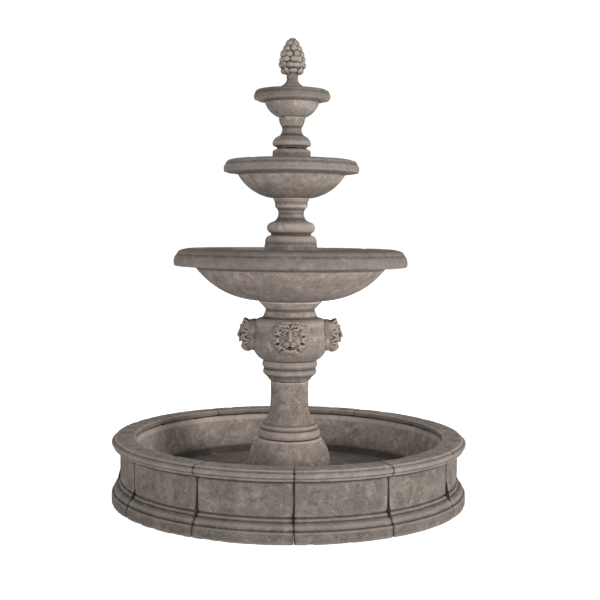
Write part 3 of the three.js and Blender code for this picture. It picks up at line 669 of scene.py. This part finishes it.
def lion_face(clay):
    """The head, brows, eyes, muzzle and open mouth."""
    clay.lump(spot(0, 222, 4), (56, 32, 64), blend=6)  # the head
    clay.lump(spot(0, 238, -66), (28, 15, 14), blend=5)  # chin
    for side in (1, -1):
        clay.lump(spot(side * 31, 234, -12), (22, 22, 26), blend=6)  # cheek
        clay.lump(spot(side * 15, 249, -23), (18, 18, 13), blend=4)  # muzzle
        clay.lump(spot(side * 25, 262, 31), (16, 13, 10), blend=4, carve=True)  # eye socket
        clay.lump(spot(side * 25, 246, 29), (10, 8, 6.5), blend=1.5)  # eyeball
        brow = spots((7, 252, 36), (18, 257, 43), (32, 252, 44), (44, 240, 36), side=side)
        clay.stroke(brow, [5, 6.5, 6.5, 4], blend=4)
        lower_lid = spots((13, 253, 21), (26, 253, 18), (40, 244, 24), side=side)
        clay.stroke(lower_lid, [3, 3.5, 3], blend=3)
        crease = spots((15, 268, -6), (28, 260, -16), (37, 252, -32), side=side)
        clay.stroke(crease, [2.5, 3.5, 3], blend=3, carve=True)  # between the muzzle and the cheek
    clay.stroke(spots((0, 246, 44), (0, 256, 24), (0, 266, -2)), [9, 9, 9.5], blend=5)  # bridge of the nose
    clay.lump(spot(0, 265, -8), (15, 11, 8.5), blend=3)
    for side in (1, -1):
        clay.lump(spot(side * 7, 275, -11), (3.4, 6, 2.8), blend=1.5, carve=True)  # nostril
    clay.stroke(spots((0, 272, -17), (0, 270, -32)), [2.2, 2.2], blend=2, carve=True)  # the cleft of the lip
    # The mouth: open round the spout, with its corners drawn up.
    mouth = spots((-38, 250, -36), (-22, 258, -46), (0, 262, -48), (22, 258, -46), (38, 250, -36))
    clay.stroke(mouth, [3, 6, 7, 6, 3], blend=2, carve=True)
    clay.lump(spot(0, 262, SPOUT_HEIGHT - MASK_HEIGHT), (17, 26, 11), blend=2, carve=True)
    lower_lip = spots((-36, 240, -47), (-20, 248, -60), (0, 251, -64), (20, 248, -60), (36, 240, -47))
    clay.stroke(lower_lip, [4, 6, 6.5, 6, 4], blend=2.5)
    for side in (1, -1):
        upper_lip = spots((3, 264, -34), (16, 262, -37), (30, 252, -34), side=side)
        clay.stroke(upper_lip, [3.5, 4, 3], blend=2.5)


def lion_masks():
    """One mask in clay, cut to fit the urn and bored for its spout, and set on the urn's four sides."""
    clay = Clay((-92, -286, MASK_HEIGHT - 98), (92, -150, MASK_HEIGHT + 92), 1.7)
    lion_mane(clay)
    lion_face(clay)
    urn = cad_section("lion_urn", math.radians(45)) / MM
    x, y, z = np.meshgrid(*clay.axes, indexing="ij", sparse=True)
    heights = clay.axes[2]
    wall = np.array([urn_radius(urn, height) for height in heights])
    clear = wall[None, None, :] + 0.8 - np.hypot(x, y)
    clay.depth = np.maximum(clay.depth, clear)
    channel = CHANNEL_RADIUS - np.hypot(x, z - SPOUT_HEIGHT) + 0 * y
    clay.depth = np.maximum(clay.depth, channel)
    for i, side in enumerate(SIDES):
        modelled_stone(f"stone_lion_mask_{side}", clay, [f"lion_mask_{side}"], ROOT_BODY, seed=400 + 9 * i,
                       angle=i * math.pi / 2)


def urn_radius(section, height):
    """How far out the urn's outside is at a height."""
    ahead = np.roll(section, -1, axis=0)
    low = np.minimum(section[:, 1], ahead[:, 1])
    high = np.maximum(section[:, 1], ahead[:, 1])
    crossed = (low <= height) & (height <= high) & (high > low)
    if not crossed.any():
        return 0.0
    share = (height - section[crossed, 1]) / (ahead[crossed, 1] - section[crossed, 1])
    return float(np.max(section[crossed, 0] + share * (ahead[crossed, 0] - section[crossed, 0])))


# ---- Finial --------------------------------------------------------------------------------------

# Heights and radii in millimetres: the tips of the cone's scales, and the foot and neck under them.
CONE = [(2172, 36), (2184, 47), (2196, 57), (2217, 69), (2238, 73), (2269, 68), (2300, 57), (2325, 45),
        (2345, 31), (2360, 17)]
FINIAL_FOOT = [(2004, 62), (2112, 62), (2118, 60), (2124, 54), (2134, 41), (2144, 33), (2156, 29),
               (2164, 31)]
FINIAL_BOTTOM = 2004.5
FINIAL_TOP = 2368
SCALE_DEPTH = 12
SCALES_IN_ROW = (8, 10, 10, 9, 7, 5)


def cone_reach(height):
    """How far out the scales' tips are at a height."""
    return float(np.interp(height, *np.array(CONE).T))


def finial():
    """The pine cone: rows of overlapping scales on a core, over a neck and a foot."""
    clay = Clay((-80, -80, FINIAL_BOTTOM - 6), (80, 80, FINIAL_TOP + 4), 1.8)
    x, y, z = np.meshgrid(*clay.axes, indexing="ij", sparse=True)
    radius = np.hypot(x, y)
    core = FINIAL_FOOT + [(height, max(3, reach - 17)) for height, reach in CONE[1:]]
    wall = np.interp(clay.axes[2], *np.array(core).T)
    clay.depth = np.minimum(clay.depth, 0.8 * (radius - wall[None, None, :]))
    clay.depth = np.maximum(clay.depth, FINIAL_BOTTOM - z + 0 * x)
    clay.depth = np.maximum(clay.depth, z - (FINIAL_TOP - 6) + 0 * x)
    pitch = (FINIAL_TOP - 14 - CONE[1][0]) / len(SCALES_IN_ROW)
    chance = np.random.default_rng(70)
    for row, scales in enumerate(SCALES_IN_ROW):
        height = CONE[1][0] + pitch * (row + 0.45)
        reach = cone_reach(height)
        slope = (cone_reach(height + 10) - cone_reach(height - 10)) / 20
        lean = math.atan(slope) + math.radians(14)
        width = math.pi * reach / scales * 0.84
        for i in range(scales):
            uneven = chance.uniform(-1, 1, 4)
            turn = math.tau * (i + 0.5 * (row % 2) + 0.13 + 0.14 * uneven[0]) / scales
            out = np.array([math.sin(turn), -math.cos(turn), 0])
            across = np.array([math.cos(turn), math.sin(turn), 0])
            upright = np.array([0, 0, 1])
            along = math.sin(lean) * out + math.cos(lean) * upright
            face = math.cos(lean) * out - math.sin(lean) * upright
            centre = (reach - SCALE_DEPTH + 2 * uneven[1]) * out + (height + 3 * uneven[2]) * upright
            size = (width * (1 + 0.18 * uneven[3]), SCALE_DEPTH, 0.60 * pitch * (1 - 0.18 * uneven[3]))
            clay.lump(centre, size, blend=2.0, axes=[across, face, along])
    clay.lump((0, 0, FINIAL_TOP - 16), (22, 22, 15), blend=2)
    bore = np.interp(clay.axes[2], [FINIAL_BOTTOM, 2024, 2038, 2228, 2238], [30, 30, 14, 14, 0])
    clay.depth = np.maximum(clay.depth, 0.9 * (bore[None, None, :] - radius))
    modelled_stone("stone_pine_cone_finial", clay, ["pine_cone_finial"], "finial", seed=700, smooth_passes=2)


# ---- Column, urn and bowls -----------------------------------------------------------------------

def castings():
    """Every casting that is turned about the axis, from the plinth up to the small bowl."""
    # Tones above 1 on the plinth, the column and the lower spool are painted light against the shade they
    # stand in.
    plinth = turned_stone("stone_plinth", "plinth", spacing=5 * MM, seed=1, tone=even_tone(1.36))
    gates = [round_topped_gate(0.032, 0.10, 0.26, 0.1385, math.radians(angle)) for angle in (38, -38)]
    cut_out(plinth, gates)
    turned_stone("stone_column", "column", spacing=4 * MM, seed=2, tone=even_tone(1.08))
    turned_stone("stone_capital", "capital", spacing=4 * MM, seed=3, tone=even_tone(0.86))
    urn = turned_stone("stone_lion_urn", "lion_urn", spacing=4.5 * MM, bearing=math.radians(45), seed=4,
                       tone=neck_painted_light)
    channels = [spoke(0.009, 0.1, 0.24, SPOUT_HEIGHT * MM, i * math.pi / 2) for i in range(4)]
    cut_out(urn, channels)
    # The bowls' darker rims are water stains together with painted shade.
    turned_stone("stone_large_bowl", "large_bowl", spacing=7 * MM, seed=5,
                 tone=rim_stain_and_shade(0.52, 1.2, 0.50))
    turned_stone("stone_lower_spool", "lower_spool", spacing=4 * MM, seed=6, tone=even_tone(1.15))
    turned_stone("stone_medium_bowl", "medium_bowl", spacing=5 * MM, seed=7,
                 tone=rim_stain_and_shade(0.30, 1.68, 0.63))
    turned_stone("stone_riser_block", "riser_block", spacing=4 * MM, seed=8)
    turned_stone("stone_upper_spool", "upper_spool", spacing=3.2 * MM, wear=1.6 * MM, seed=9)
    turned_stone("stone_small_bowl", "small_bowl", spacing=4 * MM, seed=10,
                 tone=rim_stain_and_shade(0.165, 2.052, 0.48))


# ---- Materials -----------------------------------------------------------------------------------

SOOT = (0.045, 0.037, 0.032)  # linear colours of dirt in the grain, of dirt and painted shade in creases, and of painted shade in sheltered corners
CREASE_DIRT_AND_SHADE = (0.030, 0.025, 0.021)
CORNER_SHADE = (0.035, 0.029, 0.025)
GRIME_AND_SHADE = (0.075, 0.062, 0.053)  # of stains and runs, and of the painted shade on faces turned downwards


def paler(color, times):
    """A colour made lighter."""
    return tuple(times * c for c in color)


class Nodes:
    """Short forms for building a material's nodes."""

    def __init__(self, name, roughness, metallic=0.0):
        self.material = bpy.data.materials.new(name)
        self.material.use_nodes = True
        self.tree = self.material.node_tree
        self.shader = self.tree.nodes["Principled BSDF"]
        self.shader.inputs["Roughness"].default_value = roughness
        self.shader.inputs["Metallic"].default_value = metallic
        self.place = self.add("ShaderNodeTexCoord").outputs["Object"]

    def add(self, kind, **settings):
        node = self.tree.nodes.new(kind)
        for key, value in settings.items():
            setattr(node, key, value)
        return node

    def link(self, source, target):
        self.tree.links.new(source, target)

    def feed(self, socket, value):
        """Links a node's output to a socket, or sets a plain value on it."""
        if isinstance(value, bpy.types.NodeSocket):
            self.link(value, socket)
        else:
            socket.default_value = value

    def stretched(self, scale):
        mapping = self.add("ShaderNodeMapping")
        mapping.inputs["Scale"].default_value = scale
        self.link(self.place, mapping.inputs["Vector"])
        return mapping.outputs["Vector"]

    def noise(self, scale, detail=4.0, rough=0.55, vector=None, distortion=0.0):
        node = self.add("ShaderNodeTexNoise")
        node.inputs["Scale"].default_value = scale
        node.inputs["Detail"].default_value = detail
        node.inputs["Roughness"].default_value = rough
        node.inputs["Distortion"].default_value = distortion
        self.link(vector or self.place, node.inputs["Vector"])
        return node.outputs["Fac"]

    def math(self, operation, a, b=0.0):
        node = self.add("ShaderNodeMath", operation=operation)
        self.feed(node.inputs[0], a)
        self.feed(node.inputs[1], b)
        return node.outputs[0]

    def span(self, value, low, high, to_low=0.0, to_high=1.0):
        """The value's range from low to high, spread from to_low to to_high and held there."""
        node = self.add("ShaderNodeMapRange", interpolation_type="SMOOTHSTEP")
        self.feed(node.inputs["Value"], value)
        ends = {"From Min": low, "From Max": high, "To Min": to_low, "To Max": to_high}
        for socket, number in ends.items():
            node.inputs[socket].default_value = number
        return node.outputs["Result"]

    def mix(self, share, a, b, blend="MIX"):
        node = self.add("ShaderNodeMix", data_type="RGBA", blend_type=blend)
        self.feed(node.inputs["Factor"], share)
        self.feed(node.inputs["A"], (*a, 1) if isinstance(a, tuple) else a)
        self.feed(node.inputs["B"], (*b, 1) if isinstance(b, tuple) else b)
        return node.outputs["Result"]

    def bump(self, height, distance, strength=1.0, under=None):
        node = self.add("ShaderNodeBump")
        node.inputs["Distance"].default_value = distance
        node.inputs["Strength"].default_value = strength
        self.link(height, node.inputs["Height"])
        if under is not None:
            self.link(under, node.inputs["Normal"])
        return node.outputs["Normal"]

    def facing_up(self):
        """1 on a level top, 0 on a wall and -1 underneath."""
        split = self.add("ShaderNodeSeparateXYZ")
        self.link(self.add("ShaderNodeNewGeometry").outputs["Normal"], split.inputs[0])
        return split.outputs["Z"]

    def attribute(self, name):
        return self.add("ShaderNodeAttribute", attribute_name=name).outputs["Fac"]

    def finish(self, color, normal=None, roughness=None):
        self.link(color, self.shader.inputs["Base Color"])
        if normal is not None:
            self.link(normal, self.shader.inputs["Normal"])
        if roughness is not None:
            self.link(roughness, self.shader.inputs["Roughness"])
        return self.material


def stone_material(name, light, dark):
    """Cast stone: mottled, stained grey-brown; dirt and painted shade in hollows, painted shade in corners
    and under ledges, painted highlight on its worn arrises.
    """
    n = Nodes(name, 0.93)
    n.shader.inputs["Specular IOR Level"].default_value = 0.2
    clouds = n.noise(6.0, 5.0, 0.62, distortion=0.4)
    blotches = n.noise(21.0, 4.0, 0.6, distortion=0.8)
    grain = n.noise(120.0, 3.0, 0.6)
    sand = n.noise(520.0, 2.0, 0.5)
    streaks = n.noise(13.0, 4.0, 0.6, vector=n.stretched((1.0, 1.0, 0.14)))
    color = n.mix(n.span(clouds, 0.36, 0.64), dark, light)
    color = n.mix(n.span(blotches, 0.50, 0.66, 0.0, 0.70), color, GRIME_AND_SHADE)
    color = n.mix(n.span(streaks, 0.52, 0.68, 0.0, 0.45), color, GRIME_AND_SHADE)
    color = n.mix(n.span(blotches, 0.45, 0.33, 0.0, 0.60), color, paler(light, 1.6))
    color = n.mix(n.span(grain, 0.54, 0.72, 0.0, 0.40), color, paler(light, 2.0))
    color = n.mix(n.span(grain, 0.44, 0.30, 0.0, 0.55), color, SOOT)
    color = n.mix(n.span(sand, 0.35, 0.65, 0.0, 0.14), color, paler(light, 2.2))
    proud = n.attribute("proud")
    uneven = n.math("ADD", proud, n.math("MULTIPLY", n.math("SUBTRACT", blotches, 0.5), 1.1))
    # Dirt and painted shade in creases and hollows.
    color = n.mix(n.span(uneven, -0.22, -0.75, 0.0, 0.72), color, CREASE_DIRT_AND_SHADE)
    # Worn arrises are paler, and this is also a painted highlight on every proud edge.
    color = n.mix(n.span(uneven, 0.25, 0.80, 0.0, 0.42), color, paler(light, 1.9))
    # Painted shade: corners that ambient occlusion finds sheltered are darkened.
    corner_occlusion = n.add("ShaderNodeAmbientOcclusion", samples=6)
    corner_occlusion.inputs["Distance"].default_value = 0.035
    color = n.mix(n.span(corner_occlusion.outputs["AO"], 0.62, 0.15, 0.0, 0.65), color, CORNER_SHADE)
    # Painted shade on faces turned downwards, under ledges and bowls.
    under = n.math("ADD", n.facing_up(), n.math("MULTIPLY", n.math("SUBTRACT", clouds, 0.5), 0.8))
    color = n.mix(n.span(under, -0.35, -0.95, 0.0, 0.30), color, GRIME_AND_SHADE)
    # The tone attribute: each piece's own tone and stains, with painted light and shade over whole regions.
    color = n.mix(1.0, color, n.attribute("tone"), "MULTIPLY")
    rough = n.span(blotches, 0.3, 0.7, 0.86, 0.97)
    pits = n.span(n.noise(75.0, 3.0, 0.55), 0.36, 0.46)
    normal = n.bump(pits, 0.0016, 0.7)
    normal = n.bump(grain, 0.0014, 0.8, under=normal)
    normal = n.bump(sand, 0.0004, 0.6, under=normal)
    return n.finish(color, normal, rough)


def metal_material(name, clean, tarnish, roughness, tarnished=0.5):
    """Metal with tarnish in patches and fine scratches."""
    n = Nodes(name, roughness, 1.0)
    patches = n.noise(38.0, 5.0, 0.6, distortion=0.6)
    scratches = n.noise(300.0, 2.0, 0.6, vector=n.stretched((1.0, 1.0, 0.08)))
    color = n.mix(n.span(patches, 0.45, 0.68, 0.0, tarnished), clean, tarnish)
    color = n.mix(n.span(scratches, 0.4, 0.7, 0.0, 0.18), color, tarnish)
    rough = n.span(patches, 0.35, 0.7, roughness, roughness + 0.25)
    return n.finish(color, n.bump(scratches, 0.0002, 0.4), rough)


def moulded_material(name, tint, worn, roughness, grain=700.0):
    """Moulded plastic or rubber: a fine grain, and paler rubbed patches."""
    n = Nodes(name, roughness)
    pale_patch = n.noise(24.0, 4.0, 0.6)
    fine = n.noise(grain, 2.0, 0.5)
    color = n.mix(n.span(pale_patch, 0.5, 0.75, 0.0, 0.5), tint, worn)
    color = n.mix(n.span(fine, 0.45, 0.7, 0.0, 0.2), color, worn)
    rough = n.span(pale_patch, 0.35, 0.7, roughness - 0.08, roughness + 0.12)
    return n.finish(color, n.bump(fine, 0.00015, 0.5), rough)


def make_materials():
    """A material for each slot: stone takes a light and a dark colour, the rest a new and a worn one."""
    return {
        STONE_SLOT: stone_material("cast_stone", (0.185, 0.158, 0.137), (0.130, 0.109, 0.094)),
        BASIN_SLOT: stone_material("basin_stone", (0.170, 0.145, 0.126), (0.125, 0.105, 0.091)),
        "copper": metal_material("copper", (0.30, 0.15, 0.09), (0.07, 0.09, 0.07), 0.5, 0.8),
        "brass": metal_material("brass", (0.66, 0.47, 0.19), (0.2, 0.15, 0.07), 0.3, 0.5),
        "steel": metal_material("steel", (0.62, 0.62, 0.63), (0.3, 0.29, 0.28), 0.28, 0.35),
        "ceramic": moulded_material("ceramic", (0.78, 0.76, 0.7), (0.7, 0.67, 0.6), 0.22, 300.0),
        "rubber": moulded_material("rubber", (0.013, 0.013, 0.014), (0.05, 0.048, 0.046), 0.75),
        "vinyl_hose": moulded_material("vinyl_hose", (0.028, 0.032, 0.038), (0.07, 0.072, 0.075), 0.42),
        "pump_plastic": moulded_material("pump_plastic", (0.017, 0.02, 0.023), (0.055, 0.056, 0.056), 0.5),
        "rotor_plastic": moulded_material("rotor_plastic", (0.04, 0.068, 0.11), (0.09, 0.11, 0.14), 0.45),
        "lever_plastic": moulded_material("lever_plastic", (0.42, 0.018, 0.012), (0.5, 0.12, 0.09), 0.35),
    }


def dress():
    """Gives each stone piece and each CAD node that still shows its material."""
    materials = make_materials()
    slots = {part["node"]: part["material_slot"] for part in frame["record"]["subparts"]}
    for node, thing in frame["nodes"].items():
        thing.data.materials.clear()
        thing.data.materials.append(materials[slots[node]])
    for piece in bpy.data.objects:
        if piece.name.startswith("stone_"):
            basin = piece.name in ("stone_pool_floor", "stone_basin_wall")
            piece.data.materials.clear()
            piece.data.materials.append(materials[BASIN_SLOT if basin else STONE_SLOT])


# ---- Floor, light and camera ---------------------------------------------------------------------

FLOOR_REACH = 30  # metres each way
WALL_LIGHT = 1.05
CEILING_LIGHT = 0.62
KEY_POWER = 270
FRONT_POWER = 170
CAMERA_PLACE = (0.0, -5.5723, 1.3766)
CAMERA_DOWN = math.radians(3.60)
CAMERA_YAW = math.radians(-0.48)
CAMERA_ROLL = math.radians(-0.54)
CAMERA_LENS = 64.63  # millimetres on a 36 mm sensor


def floor():
    """A plain white floor that glows a little, as a lit studio sweep does."""
    mesh = bpy.data.meshes.new("floor")
    corners = [(x * FLOOR_REACH, y * FLOOR_REACH, 0) for x, y in ((-1, -1), (1, -1), (1, 1), (-1, 1))]
    mesh.from_pydata(corners, [], [(0, 1, 2, 3)])
    plane = bpy.data.objects.new("floor", mesh)
    bpy.context.scene.collection.objects.link(plane)
    n = Nodes("pale_floor", 0.9)
    n.shader.inputs["Base Color"].default_value = (0.9, 0.9, 0.9, 1)
    n.shader.inputs["Emission Color"].default_value = (1, 1, 1, 1)
    n.shader.inputs["Emission Strength"].default_value = 0.65
    mesh.materials.append(n.material)


def area_light(name, place, target, size, power):
    """A round soft lamp aimed at a target."""
    lamp = bpy.data.lights.new(name, "AREA")
    lamp.shape = "DISK"
    lamp.size = size
    lamp.energy = power
    thing = bpy.data.objects.new(name, lamp)
    bpy.context.scene.collection.objects.link(thing)
    thing.location = place
    aim = Vector(target) - Vector(place)
    thing.rotation_euler = aim.to_track_quat("-Z", "Y").to_euler()


def studio():
    """A white room: bright walls, a dimmer ceiling, a large soft lamp on the right and one low in front."""
    bpy.context.scene.view_settings.view_transform = "Standard"
    world = bpy.data.worlds.new("studio")
    world.use_nodes = True
    tree = world.node_tree
    split = tree.nodes.new("ShaderNodeSeparateXYZ")
    tree.links.new(tree.nodes.new("ShaderNodeTexCoord").outputs["Generated"], split.inputs[0])
    fade = tree.nodes.new("ShaderNodeMapRange")
    tree.links.new(split.outputs["Z"], fade.inputs["Value"])
    levels = {"From Min": 0.30, "From Max": 0.75, "To Min": WALL_LIGHT, "To Max": CEILING_LIGHT}
    for socket, number in levels.items():
        fade.inputs[socket].default_value = number
    tree.links.new(fade.outputs["Result"], tree.nodes["Background"].inputs["Strength"])
    tree.nodes["Background"].inputs["Color"].default_value = (1, 1, 1, 1)
    bpy.context.scene.world = world
    area_light("key", (5.0, -3.4, 1.5), (0, 0, 0.9), 1.6, KEY_POWER)
    area_light("front", (-0.3, -6.5, 0.6), (0, 0, 0.9), 2.0, FRONT_POWER)


def camera():
    """The photograph's view, from the front and a little above the pool."""
    lens = bpy.data.cameras.new("camera")
    lens.lens = CAMERA_LENS
    lens.sensor_width = 36
    viewer = bpy.data.objects.new("camera", lens)
    bpy.context.scene.collection.objects.link(viewer)
    viewer.location = CAMERA_PLACE
    viewer.rotation_euler = (math.pi / 2 - CAMERA_DOWN, CAMERA_ROLL, CAMERA_YAW)
    bpy.context.scene.camera = viewer


camera()
floor()
studio()
pool()
castings()
lion_masks()
finial()
dress()
